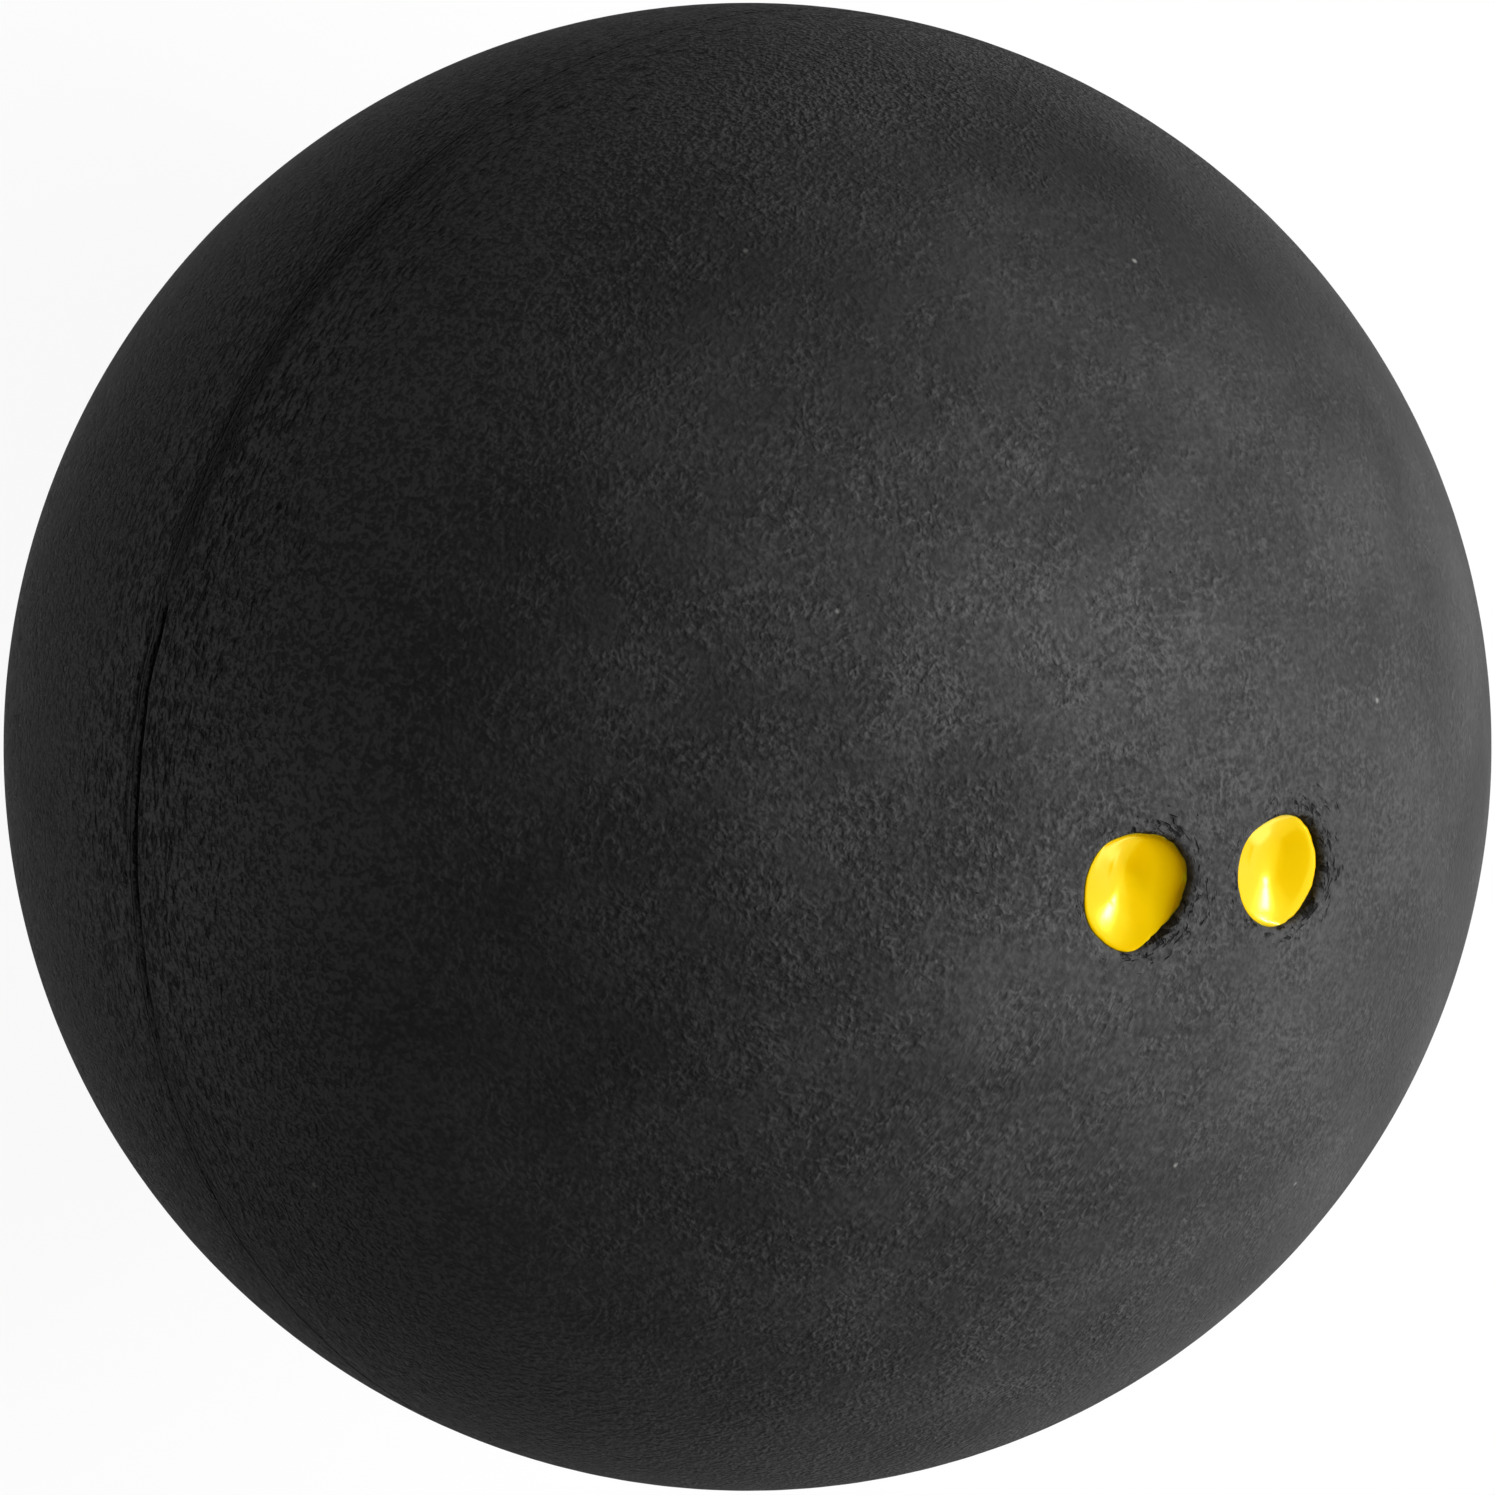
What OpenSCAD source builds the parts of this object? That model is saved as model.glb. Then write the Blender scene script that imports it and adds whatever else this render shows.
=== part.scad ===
// Squash ball: two moulded rubber half shells, cemented edge to edge, with two painted dots.
// The origin is the ball's centre. +Z runs through the pole that lies midway between the dots,
// and the seam lies in the XY plane.

/* [Ball] */
// Outside diameter of the ball
ball_d = 40; // [36:0.5:60]
// Thickness of the rubber wall
wall = 5.2; // [3:0.1:8]

/* [Seam] */
// Thickness of the cured cement film between the two half shells
cement_t = 0.1; // [0.06:0.02:0.2]
// Width of the groove that the seam leaves around the outside
groove_w = 0.4; // [0.3:0.05:0.8]
// Depth of that groove
groove_depth = 0.08; // [0.04:0.02:0.2]
// Width of the bead of cement that is squeezed out inside the ball
bead_w = 1.2; // [0.6:0.1:2]
// Height of that bead
bead_h = 0.35; // [0.15:0.05:0.5]

/* [Dots] */
// Distance between the two dots' centres, along the ball's surface
dot_spacing = 4.8; // [4.4:0.1:6]
// Diameter of each moulded dimple at the ball's surface
dimple_d = 3.1; // [2.4:0.1:4]
// Depth of the dimple at its centre
dimple_depth = 0.9; // [0.55:0.05:1.2]
// Depth of the dimple's steep side
side_depth = 0.45; // [0.2:0.05:0.5]
// Thickness of the paint at the dimple's centre
paint_t = 0.25; // [0.1:0.05:0.35]
// Depth of the paint's edge below the ball's surface
paint_drop = 0.12; // [0.06:0.02:0.16]

/* [Hidden] */
$fn = 96;

rubber_colour = "#2b2b2b";
cement_colour = "#151515";
paint_colour = "#f6cf00";

// How far a cut runs past the surface that it opens
overrun = 0.5;

ball_r = ball_d / 2;
cavity_r = ball_r - wall;
dimple_r = dimple_d / 2;

// Half the angle between the dots, seen from the ball's centre
dot_angle = dot_spacing / 2 / ball_r * 180 / PI;

// The dimple's steep side follows a power of the radius, and its floor is a blunt cone.
side_power = 8;
paint_power = 1.5;
profile_steps = 14;

// Shares of the dimple's radius, closer together towards its steep side
radius_shares = [for (i = [0 : profile_steps]) sin(90 * i / profile_steps)];

// Height of the ball's surface over a plane that touches it where the dot's axis comes out
function skin_level(r) = sqrt(ball_r * ball_r - r * r) - ball_r;

// Height of the dimple's rubber, measured from the ball's surface
function dimple_level(share) =
    -side_depth * (1 - pow(share, side_power)) - (dimple_depth - side_depth) * (1 - share);

// Height of the dried paint, which sinks to a rounded funnel in the middle
function paint_level(share) =
    -paint_drop - (dimple_depth - paint_t - paint_drop) * pow(1 - share * share, paint_power);

// Carries a dot's shapes from the ball's centre to its place, where side is -1 or 1
module at_dot(side) {
    rotate([0, side * dot_angle, 0])
        translate([0, 0, ball_r])
            children();
}

// What the mould's nub leaves empty, open at the top
module dimple_space() {
    rotate_extrude()
        polygon(concat(
            [[0, overrun], [dimple_r, overrun]],
            [for (i = [profile_steps : -1 : 0])
                let (share = radius_shares[i], r = dimple_r * share)
                    [r, skin_level(r) + dimple_level(share)]]
        ));
}

// The air above the paint
module air_over_paint() {
    rotate_extrude()
        polygon(concat(
            [[0, 2 * overrun], [dimple_r + overrun, 2 * overrun]],
            [[dimple_r + overrun, skin_level(dimple_r) - paint_drop]],
            [for (i = [profile_steps : -1 : 0])
                let (share = radius_shares[i], r = dimple_r * share)
                    [r, skin_level(r) + paint_level(share)]]
        ));
}

// The ring that opens one half shell's outer edge into its side of the groove
module groove_cut() {
    half_w = groove_w / 2;
    rotate_extrude()
        polygon([
            [ball_r - groove_depth, 0],
            [ball_r - groove_depth, cement_t / 2],
            [sqrt(ball_r * ball_r - half_w * half_w), half_w],
            [ball_r + overrun, half_w],
            [ball_r + overrun, 0]
        ]);
}

// One moulded half, above the XY plane, with its bonding face down
module half_shell() {
    difference() {
        sphere(r = ball_r);
        sphere(r = cavity_r);
        translate([0, 0, cement_t / 2 - ball_d])
            cylinder(r = ball_r + overrun, h = ball_d);
        groove_cut();
    }
}

module dotted_half_shell() {
    color(rubber_colour)
        difference() {
            half_shell();
            for (side = [-1, 1])
                at_dot(side)
                    dimple_space();
        }
}

module plain_half_shell() {
    color(rubber_colour)
        mirror([0, 0, 1])
            half_shell();
}

// The squeezed-out bead: a round ring cut to the cavity's wall
module inner_bead() {
    half_w = bead_w / 2;
    bead_round_r = (bead_h * bead_h + half_w * half_w) / (2 * bead_h);
    intersection() {
        sphere(r = cavity_r);
        rotate_extrude()
            translate([cavity_r - bead_h + bead_round_r, 0])
                circle(r = bead_round_r);
    }
}

module seam_cement() {
    color(cement_colour)
        union() {
            difference() {
                translate([0, 0, -cement_t / 2])
                    cylinder(r = ball_r - groove_depth, h = cement_t);
                translate([0, 0, -cement_t / 2 - overrun])
                    cylinder(r = cavity_r - bead_h / 2, h = cement_t + 2 * overrun);
            }
            inner_bead();
        }
}

module paint_dot(side) {
    color(paint_colour)
        at_dot(side)
            difference() {
                dimple_space();
                air_over_paint();
            }
}

module left_dot() { paint_dot(-1); }

module right_dot() { paint_dot(1); }

dotted_half_shell();
plain_half_shell();
seam_cement();
left_dot();
right_dot();
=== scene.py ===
import math
from functools import partial

import bpy
from mathutils import Matrix, Vector


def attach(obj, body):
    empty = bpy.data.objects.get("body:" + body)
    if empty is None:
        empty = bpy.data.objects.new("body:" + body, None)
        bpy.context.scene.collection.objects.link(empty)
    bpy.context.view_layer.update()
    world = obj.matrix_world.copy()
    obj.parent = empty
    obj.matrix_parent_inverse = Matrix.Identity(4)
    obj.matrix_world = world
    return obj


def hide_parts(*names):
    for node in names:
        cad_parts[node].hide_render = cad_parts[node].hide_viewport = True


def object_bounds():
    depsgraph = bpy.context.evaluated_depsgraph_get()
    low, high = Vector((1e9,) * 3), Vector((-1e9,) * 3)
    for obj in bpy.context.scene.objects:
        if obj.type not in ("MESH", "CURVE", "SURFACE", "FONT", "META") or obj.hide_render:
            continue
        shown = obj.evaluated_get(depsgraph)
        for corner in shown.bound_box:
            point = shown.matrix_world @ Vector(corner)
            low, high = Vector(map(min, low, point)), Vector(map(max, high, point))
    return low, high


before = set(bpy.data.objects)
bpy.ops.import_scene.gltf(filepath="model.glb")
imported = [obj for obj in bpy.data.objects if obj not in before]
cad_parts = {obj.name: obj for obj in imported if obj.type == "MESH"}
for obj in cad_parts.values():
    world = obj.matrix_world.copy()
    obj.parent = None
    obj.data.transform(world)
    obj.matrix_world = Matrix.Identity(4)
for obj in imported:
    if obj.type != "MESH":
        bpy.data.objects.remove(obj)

cadLow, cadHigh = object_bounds()
mm = 0.001
ballRadius = (cadHigh[2] - cadLow[2]) / 2


def srgb(hexColour):
    # turns a hex colour as seen on a screen into the linear values that a shader takes
    channels = []
    for start in (0, 2, 4):
        value = int(hexColour.lstrip("#")[start:start + 2], 16) / 255
        channels.append(value / 12.92 if value <= 0.04045 else ((value + 0.055) / 1.055) ** 2.4)
    return (*channels, 1.0)


def addNode(tree, kind, inputs=(), **settings):
    # adds a node with its settings, and fills its inputs, in order or by name, with values, sockets or nodes.
    # A math node whose operation isn't given adds
    node = tree.nodes.new(kind)
    for name, value in settings.items():
        setattr(node, name, value)
    if isinstance(inputs, dict):
        pairs = [(node.inputs[name], value) for name, value in inputs.items()]
    else:
        pairs = zip([socket for socket in node.inputs if socket.enabled], inputs)
    for socket, value in pairs:
        if isinstance(value, bpy.types.Node):
            value = next(output for output in value.outputs if output.enabled)
        if isinstance(value, bpy.types.NodeSocket):
            tree.links.new(value, socket)
        elif value is not None:
            socket.default_value = value
    return node


def setCurve(node, points):
    # gives a Float Curve node its points
    curve = node.mapping.curves[0]
    while len(curve.points) < len(points):
        curve.points.new(0.5, 0.5)
    for point, (x, y) in zip(curve.points, points):
        point.location = (x, y)
        point.handle_type = "AUTO_CLAMPED"
    node.mapping.update()


def cosAndSin(tree, turn):
    return [addNode(tree, "ShaderNodeMath", [turn], operation=kind) for kind in ("COSINE", "SINE")]


def aroundBall(tree, x, y):
    # the direction from the ball's axis to a place
    flat = addNode(tree, "ShaderNodeCombineXYZ", [x, y, 0.0])
    return addNode(tree, "ShaderNodeVectorMath", [flat], operation="NORMALIZE")


def splitAtAxis(tree, place, axis):
    # how far along an axis a place lies, and the rest of its way, square to the axis
    along = addNode(tree, "ShaderNodeVectorMath", [place, axis], operation="DOT_PRODUCT")
    onAxis = addNode(tree, "ShaderNodeVectorMath", [axis, along], operation="SCALE")
    return along, addNode(tree, "ShaderNodeVectorMath", [place, onAxis], operation="SUBTRACT")


def newShapeTree(name, sizes):
    # a Geometry Nodes tree with one named input for each size, and one for the material
    tree = bpy.data.node_groups.new(name, "GeometryNodeTree")
    for label, value in sizes.items():
        kind = "NodeSocketInt" if isinstance(value, int) else "NodeSocketFloat"
        tree.interface.new_socket(label, in_out="INPUT", socket_type=kind)
    tree.interface.new_socket("material", in_out="INPUT", socket_type="NodeSocketMaterial")
    tree.interface.new_socket("mesh", in_out="OUTPUT", socket_type="NodeSocketGeometry")
    return tree


def shadeRound(tree, mesh):
    # smooth shading, apart from the edges that turn by more than a radian
    smooth = addNode(tree, "GeometryNodeSetShadeSmooth", [mesh])
    bend = addNode(tree, "GeometryNodeInputMeshEdgeAngle").outputs["Unsigned Angle"]
    isCorner = addNode(tree, "ShaderNodeMath", [bend, 1.0], operation="GREATER_THAN")
    return addNode(tree, "GeometryNodeSetShadeSmooth", [smooth, isCorner, False], domain="EDGE")


def endShapeTree(tree, mesh, material):
    mesh = addNode(tree, "GeometryNodeRealizeInstances", [mesh])
    mesh = addNode(tree, "GeometryNodeSetMaterial", {"Geometry": mesh, "Material": material})
    addNode(tree, "NodeGroupOutput", [mesh])


def growPiece(name, tree, sizes, material):
    # runs the tree once on an empty object, and keeps what it makes as the object's plain mesh
    piece = bpy.data.objects.new(name, bpy.data.meshes.new(name))
    bpy.context.scene.collection.objects.link(piece)
    modifier = piece.modifiers.new("grow", "NODES")
    modifier.node_group = tree
    for socket in tree.interface.items_tree:
        if socket.in_out == "INPUT":
            modifier[socket.identifier] = material if socket.name == "material" else sizes[socket.name]
    bpy.context.view_layer.update()
    grown = piece.evaluated_get(bpy.context.evaluated_depsgraph_get())
    mesh = bpy.data.meshes.new_from_object(grown)
    piece.modifiers.clear()
    piece.data = mesh
    mesh.name = name
    mesh.materials.clear()  # the tree leaves an empty slot in front of the material's own
    mesh.materials.append(material)
    print("made", name, "with", sum(len(face.vertices) - 2 for face in mesh.polygons), "triangles")
    return piece


# Camera, at the photograph's angle

cameraPlan = {
    "distance": 360 * mm,  # eighteen radii: from there the two dots stand evenly about the ball's pole
    "side": (0.8025, 0.0365, 0.5955),  # the picture's right, in the ball's frame
    "up": (0.0876, 0.9801, -0.1781),
    "towards": (-0.5902, 0.1950, 0.7834),  # from the ball's centre to the camera
    "pictureWidth": 1495,  # pixels
    "outlineRadius": 744.1,  # pixels
    "sensorWidth": 36.0,
    "nearest": 0.01,  # metres, where the view starts
}


def makeCamera(plan):
    data = bpy.data.cameras.new("camera")
    outlineSlope = math.tan(math.asin(ballRadius / plan["distance"]))
    frameSlope = outlineSlope * plan["pictureWidth"] / 2 / plan["outlineRadius"]
    data.sensor_width = plan["sensorWidth"]
    data.lens = plan["sensorWidth"] / 2 / frameSlope
    data.clip_start = plan["nearest"]
    camera = bpy.data.objects.new("camera", data)
    bpy.context.scene.collection.objects.link(camera)
    turn = Matrix((plan["side"], plan["up"], plan["towards"])).transposed().to_4x4()
    camera.matrix_world = Matrix.Translation(Vector(plan["towards"]) * plan["distance"]) @ turn
    bpy.context.scene.camera = camera


makeCamera(cameraPlan)
print("camera placed")


# Where the two dots lie, and the uneven rims of their dimples

dotPlans = {
    "leftDot": {
        "centre": (-2.30 * mm, 0.03 * mm),  # square to the ball's axis
        "radius": 1.59 * mm,
        "outline": [  # degrees round the dot's axis, and the paint's reach in radii: a rounded pentagon
            (-180, 0.943), (-150, 0.978), (-125, 0.984), (-105, 1.018), (-90, 1.023), (-70, 0.935),
            (-50, 0.92), (-30, 0.96), (-8, 1.02), (12, 1.085), (35, 1.06), (60, 0.985), (80, 0.935),
            (105, 0.941), (130, 0.984), (155, 0.965), (180, 0.943)],
        "paintEdge": [  # degrees, and the share of the dimple's own radius at which the paint ends
            (-180, 0.99), (-110, 0.985), (-80, 0.975), (-60, 0.95), (-35, 0.945), (-10, 0.955), (30, 0.955),
            (70, 0.97), (120, 0.985), (180, 0.99)],
        "crackSeed": 5.0,
    },
    "rightDot": {
        "centre": (2.46 * mm, 0.07 * mm),
        "radius": 1.52 * mm,
        "outline": [
            (-180, 0.955), (-156, 0.936), (-116, 0.949), (-76, 0.99), (-56, 1.03), (-36, 1.05), (4, 1.08),
            (44, 1.05), (84, 0.97), (104, 0.942), (144, 0.994), (164, 0.975), (180, 0.955)],
        "paintEdge": [
            (-180, 0.99), (-110, 0.985), (-70, 0.96), (-45, 0.935), (35, 0.935), (65, 0.96), (110, 0.985),
            (180, 0.99)],
        "crackSeed": 9.0,
    },
}

dimplePlan = {
    "depth": 0.9 * mm,
    "depthReach": 1.3,  # in shares of the rim's radius
    "depthShares": [  # the floor, the steep wall and the rounded rim
        (0.0, 1.0), (0.5, 0.87), (0.8, 0.7), (0.89, 0.53), (0.95, 0.27), (0.99, 0.1), (1.04, 0.025),
        (1.12, 0.0), (1.3, 0.0)],
    "tightening": 0.14 * mm,  # how far rings are drawn towards a rim, where the shape is finest
    "tightReach": 0.75 * mm,
}


def dotFrame(dot):
    # the dot's outward axis, and two directions square to it: the first towards +X, the second towards +Y
    x, y = dot["centre"]
    outward = Vector((x, y, math.sqrt(ballRadius ** 2 - x * x - y * y))) / ballRadius
    across = Vector((0, 1, 0)).cross(outward).normalized()
    return outward, across, outward.cross(across)


def shareByTurn(tree, turn, shares):
    # reads a list of (degrees, share) at an angle in radians
    spot = addNode(tree, "ShaderNodeMath", [turn, 0.5 / math.pi, 0.5], operation="MULTIPLY_ADD")
    curve = addNode(tree, "ShaderNodeFloatCurve", {"Value": spot})
    setCurve(curve, [(0.5 + degrees / 360, share / 2) for degrees, share in shares])
    return addNode(tree, "ShaderNodeMath", [curve, 2.0], operation="MULTIPLY")


def rimRadiusAt(tree, turn, dot):
    # the dimple's radius in the direction that `turn` gives in radians
    reach = shareByTurn(tree, turn, dot["outline"])
    edge = shareByTurn(tree, turn, dot["paintEdge"])
    rim = addNode(tree, "ShaderNodeMath", [reach, edge], operation="DIVIDE")
    return addNode(tree, "ShaderNodeMath", [rim, dot["radius"]], operation="MULTIPLY")


def rubberDepthAt(tree, share, dimple):
    # how deep the moulded dimple is, at a share of the rim's radius from its axis
    spot = addNode(tree, "ShaderNodeMath", [share, dimple["depthReach"]], operation="DIVIDE")
    curve = addNode(tree, "ShaderNodeFloatCurve", {"Value": spot})
    setCurve(curve, [(x / dimple["depthReach"], y) for x, y in dimple["depthShares"]])
    return addNode(tree, "ShaderNodeMath", [curve, dimple["depth"]], operation="MULTIPLY")


# Materials

rubberLook = {
    "dark": "#383838",
    "light": "#565656",
    "black": "#060606",  # cracks, and painted shade along the seam's creases and on the dimples' walls, whose rubber is also unbuffed
    "fleck": "#a8a8a4",
    "swirlSize": 1.6,  # mm, and so are all the lengths below
    "swirlReach": 0.25,
    "noises": {  # size, detail and roughness
        "grain": (0.13, 1.0, 0.5),
        "worms": (0.17, 0.0, 0.5),
        "lumps": (0.25, 1.0, 0.6),
        "patches": (1.3, 2.0, 0.5),
        "dust": (0.12, 1.0, 0.5),
        "mottle": (3.5, 3.0, 0.5),
    },
    "lumpShare": 1.1,
    "wormShare": 0.35,
    "fineStroke": (0.26, 0.09),  # length and width
    "seamStroke": (0.42, 0.14),
    "crackStroke": (0.42, 0.18),
    "crackTurn": 2.2,  # the distance from a dot's axis at which its cracks have that length
    "strokeNoise": {"Scale": 1.0, "Detail": 2.0, "Roughness": 0.6, "Distortion": 0.5},
    "seamSeed": 3.0,
    "slantSeed": 11.0,
    "bandMiddle": 0.15,
    "raggedness": 1.4,
    "bandShares": [  # degrees round the ball, and how dark the ragged band along the seam is there
        (-180, 0.25), (-150, 0.35), (-120, 0.2), (-60, 0.3), (60, 0.3), (100, 0.12), (118, 0.3), (130, 0.85),
        (150, 0.85), (160, 0.6), (166, 0.15), (180, 0.2)],
    "slantMiddle": (-4.43, -6.64, 18.33),  # where the strokes slant, below the dots
    "slantAxis": (-0.882, 0.469, -0.043),
    "paintedLightAndWear": [  # places on the skin, reach, and how much paler the skin is painted there, darker below zero: painted light and shade that evens out the lamps' shading, and pale worn smudges
        ((-4.7, 7.2, 18.1), 7.0, 0.35), ((-4.5, -1.0, 19.4), 5.0, 0.25), ((8.0, 13.0, 12.5), 8.0, -0.25),
        ((3.0, 17.0, 9.5), 8.5, -0.45), ((-15.1, -3.0, 12.8), 7.0, -0.3), ((-10.3, 8.6, 14.8), 8.0, 0.3),
        ((-19.6, 1.0, 0.5), 10.0, 0.9), ((-17.0, 10.3, 1.5), 8.0, 0.45), ((-18.9, -6.0, 1.0), 8.0, 0.45),
        ((1.5, 6.0, 18.9), 6.0, 0.14), ((-2.9, -9.9, 17.1), 6.0, -0.16)],
    # each of these runs from one reading to another, and gives the value at either end
    "seamFade": (0.6, 4.5, 0.85, 0.0),  # mm from the seam, as are the next four
    "dustFade": (3.0, 11.0, 1.0, 0.0),
    "dashFade": (1.5, 7.5, 0.47, 0.24),
    "contrastFade": (5.0, 10.0, 6.5, 1.65),
    "reliefFade": (5.0, 12.0, 0.16, 0.05),
    "slantFade": (3.0, 8.0, 0.8, 0.0),  # mm from the slanting strokes' middle
    "topFade": (4.0, 15.0, 1.0, 0.65),  # mm along Y
    "rightFade": (0.0, 10.0, 1.0, 0.6),  # mm along X
    "haloFade": (1.5, 3.6, 0.04, -0.35),  # mm from a dot's axis
    "haloSide": (-0.6, 0.6, -0.12, 0.0),
    "bandEdge": (0.35, 0.6, 1.0, 0.0),
    "dashEdge": (-0.07, 0.01, 0.9, 0.0),
    "ringEdge": (0.4, 0.52, 0.75, 0.0),
    "wormEdge": (0.56, 0.8, 0.0, 1.0),
    "patchEdge": (0.38, 0.6, 0.55, 1.0),
    "mottleEdge": (0.3, 0.7, -0.2, 0.2),
    # painted shade in the seam's crease and on the dimples' walls
    "creaseShadeEdge": (0.1, 0.5, 0.0, 1.0),
    "wallShadeEdge": (0.12, 0.35, 0.0, 0.9),
    "fleckEdge": (0.005, 0.025, 0.8, 0.0),  # in shares of the flecks' spacing
    "fleckSpacing": 4.0,
    "paleness": 0.55,
    "palePower": 1.6,
    "crackDepth": 0.08,
    "roughness": 0.8,
    "roughnessGain": 0.3,  # how much rougher the high grain is
    "specular": 0.1,
}


def emptyTree(owner):
    # the node tree of a material or a world, with nothing in it yet
    owner.use_nodes = True
    owner.node_tree.nodes.clear()
    return owner.node_tree


def placeInMm(tree):
    # where a point of the surface lies in the ball's frame
    place = addNode(tree, "ShaderNodeTexCoord").outputs["Object"]
    return addNode(tree, "ShaderNodeVectorMath", [place, (1 / mm,) * 3], operation="MULTIPLY")


def makeBuffedRubber(look):
    # Black moulded rubber, buffed: matte, with fine curled scratches that catch the light from one side
    material = bpy.data.materials.new("buffedMouldedRubber")
    tree = emptyTree(material)
    add = partial(addNode, tree)
    inMm = placeInMm(tree)
    radiusInMm = ballRadius / mm
    x, y, z = add("ShaderNodeSeparateXYZ", [inMm]).outputs

    def strokesAbout(along, around, reach, stroke, seed):
        # noise drawn out round an axis: `along` is the place on the axis, and `around` the direction from it
        spun = add("ShaderNodeVectorMath", [around, reach / stroke[0]], operation="SCALE")
        stacked = add("ShaderNodeMath", [along, 1 / stroke[1], seed], operation="MULTIPLY_ADD")
        return add("ShaderNodeTexNoise", {"Vector": spun, "W": stacked, **look["strokeNoise"]},
                   noise_dimensions="4D")

    # the grain: curled everywhere, and drawn out along the seam and in one slanting area
    swirl = add("ShaderNodeTexNoise", {"Vector": inMm, "Scale": 1 / look["swirlSize"], "Detail": 1.0})
    reach = look["swirlReach"]
    shift = add("ShaderNodeVectorMath", [swirl.outputs["Color"], (reach,) * 3, (-reach / 2,) * 3],
                operation="MULTIPLY_ADD")
    curled = add("ShaderNodeVectorMath", [inMm, shift])
    noise = {}
    for name, (size, detail, roughness) in look["noises"].items():
        noise[name] = add("ShaderNodeTexNoise", {
            "Vector": inMm if name in ("dust", "mottle") else curled, "Scale": 1 / size, "Detail": detail,
            "Roughness": roughness})
    fromSeam = add("ShaderNodeMath", [z], operation="ABSOLUTE")
    seamStrokes = strokesAbout(z, aroundBall(tree, x, y), radiusInMm, look["seamStroke"], look["seamSeed"])
    slantAlong, slantOff = splitAtAxis(tree, inMm, look["slantAxis"])
    slantUnit = add("ShaderNodeVectorMath", [slantOff], operation="NORMALIZE")
    slantStrokes = strokesAbout(slantAlong, slantUnit, radiusInMm, look["fineStroke"], look["slantSeed"])
    slantFar = add("ShaderNodeVectorMath", [inMm, look["slantMiddle"]], operation="DISTANCE")
    seamShare = add("ShaderNodeMapRange", [fromSeam, *look["seamFade"]])
    slantShare = add("ShaderNodeMapRange", [slantFar, *look["slantFade"]])
    level = add("ShaderNodeMix", [seamShare, noise["grain"], seamStrokes])
    level = add("ShaderNodeMix", [slantShare, level, slantStrokes])
    patchShare = add("ShaderNodeMapRange", [noise["patches"], *look["patchEdge"]])
    worms = add("ShaderNodeMapRange", [noise["worms"], *look["wormEdge"]], interpolation_type="SMOOTHSTEP")
    worms = add("ShaderNodeMath", [worms, patchShare], operation="MULTIPLY")
    level = add("ShaderNodeMath", [worms, look["wormShare"], level], operation="MULTIPLY_ADD")
    level = add("ShaderNodeMath", [noise["lumps"], look["lumpShare"], level], operation="MULTIPLY_ADD")
    level = add("ShaderNodeMath", [level, -0.5 - look["lumpShare"] / 2])
    topShare = add("ShaderNodeMapRange", [y, *look["topFade"]])
    for share in (patchShare, topShare):
        level = add("ShaderNodeMath", [level, share], operation="MULTIPLY")
    dustShare = add("ShaderNodeMapRange", [fromSeam, *look["dustFade"]])
    dust = add("ShaderNodeMath", [noise["dust"], -0.5])
    level = add("ShaderNodeMath", [dust, dustShare, level], operation="MULTIPLY_ADD")

    # dark cracks: dashes beside the seam, a ragged band along it, and broken rings round each dot; then the
    # painted shade in the seam's crease and on the dimples' walls
    dashLimit = add("ShaderNodeMapRange", [fromSeam, *look["dashFade"]])
    dashes = add("ShaderNodeMath", [seamStrokes, dashLimit], operation="SUBTRACT")
    dashes = add("ShaderNodeMapRange", [dashes, *look["dashEdge"]])
    heading = add("ShaderNodeMath", [y, x], operation="ARCTAN2")
    bandShare = shareByTurn(tree, heading, look["bandShares"])
    fromBand = add("ShaderNodeMath", [z, look["bandMiddle"]], operation="SUBTRACT")
    fromBand = add("ShaderNodeMath", [fromBand], operation="ABSOLUTE")
    ragged = add("ShaderNodeMath", [seamStrokes, look["raggedness"], -look["raggedness"] / 2],
                 operation="MULTIPLY_ADD")
    ragged = add("ShaderNodeMath", [fromBand, ragged])
    band = add("ShaderNodeMapRange", [ragged, *look["bandEdge"]])
    band = add("ShaderNodeMath", [band, bandShare], operation="MULTIPLY")
    cracks = add("ShaderNodeMath", [dashes, band], operation="MAXIMUM")
    for dot in dotPlans.values():
        off = splitAtAxis(tree, inMm, dotFrame(dot)[0])[1]
        far = add("ShaderNodeVectorMath", [off], operation="LENGTH")
        offUnit = add("ShaderNodeVectorMath", [off], operation="NORMALIZE")
        rings = strokesAbout(far, offUnit, look["crackTurn"], look["crackStroke"], dot["crackSeed"])
        offSide = add("ShaderNodeSeparateXYZ", [offUnit])
        sideShare = add("ShaderNodeMapRange", [offSide, *look["haloSide"]])
        haloShare = add("ShaderNodeMapRange", [far, *look["haloFade"]])
        limit = add("ShaderNodeMath", [haloShare, sideShare])
        rings = add("ShaderNodeMath", [rings, limit], operation="SUBTRACT")
        rings = add("ShaderNodeMapRange", [rings, *look["ringEdge"]])
        cracks = add("ShaderNodeMath", [cracks, rings], operation="MAXIMUM")
    # painted shade: the seam's crease and the dimples' walls, whose rubber is also unbuffed, go towards black
    # where shade falls in them
    crease = add("ShaderNodeAttribute", attribute_name="crease").outputs["Fac"]
    crease = add("ShaderNodeMapRange", [crease, *look["creaseShadeEdge"]])
    wall = add("ShaderNodeAttribute", attribute_name="pressed").outputs["Fac"]
    wall = add("ShaderNodeMapRange", [wall, *look["wallShadeEdge"]])
    crackAndShadeShare = add("ShaderNodeMath", [crease, wall], operation="MAXIMUM")
    crackAndShadeShare = add("ShaderNodeMath", [crackAndShadeShare, cracks], operation="MAXIMUM")

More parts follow.
